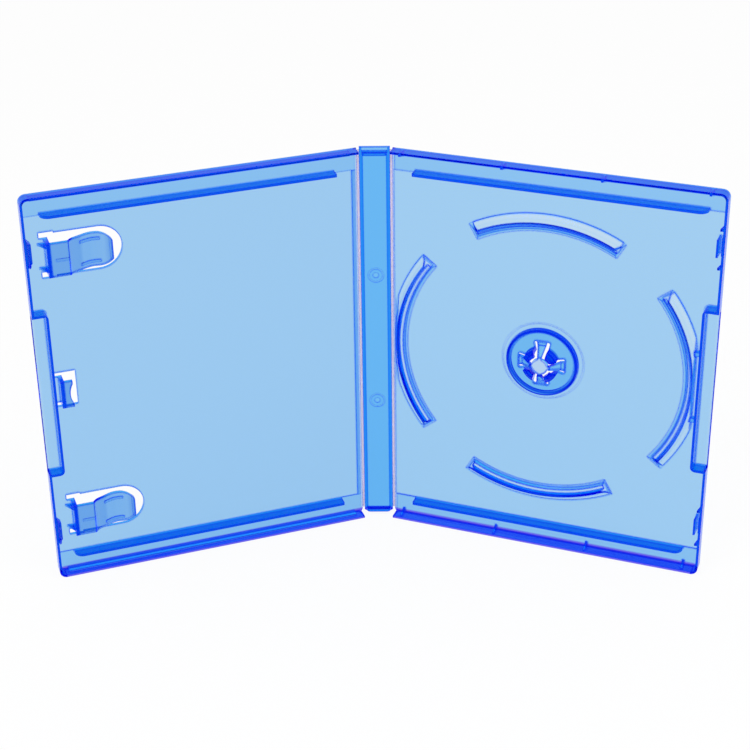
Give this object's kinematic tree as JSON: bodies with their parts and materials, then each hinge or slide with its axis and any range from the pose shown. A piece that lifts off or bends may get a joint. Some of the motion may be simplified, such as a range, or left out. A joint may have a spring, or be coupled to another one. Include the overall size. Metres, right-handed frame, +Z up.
{
  "type": "game disc case",
  "caption": "Translucent blue moulded disc case standing open like a book, with a slotted hub and arc walls in the tray and booklet clips in the front cover.",
  "frame": {"origin": "centre of the bounding box, at the height of the bottom edges on which the open case stands", "axes": "+X along the open case from the front cover to the disc tray, +Y from the open side to the spine, +Z up"},
  "size_m": [0.2662, 0.0524, 0.17],
  "materials": {
    "case_plastic": "glossy translucent blue moulded plastic"
  },
  "bodies": {
    "spine": {"spine": "case_plastic", "front_hinge": "case_plastic", "rear_hinge": "case_plastic"},
    "front_cover": {"front_cover": "case_plastic"},
    "disc_tray": {"disc_tray": "case_plastic"},
    "hub_button": {"hub_button": "case_plastic"}
  },
  "joints": [
    {"name": "front_fold", "type": "hinge", "parent": "spine", "child": "front_cover", "pos_m": [-0.00665, 0.02603, 0.085], "axis": [0, 0, 1], "range_deg": [-19.6, 70.4], "deforming": ["front_hinge"]},
    {"name": "tray_fold", "type": "hinge", "parent": "spine", "child": "disc_tray", "pos_m": [0.00665, 0.02603, 0.085], "axis": [0, 0, -1], "range_deg": [-19.6, 70.4], "deforming": ["rear_hinge"]},
    {"name": "hub_press", "type": "slide", "parent": "disc_tray", "child": "hub_button", "axis": [0.3354, 0.9421, 0], "range_m": [0, 0.0012], "stiffness_N_per_m": 1500}
  ]
}
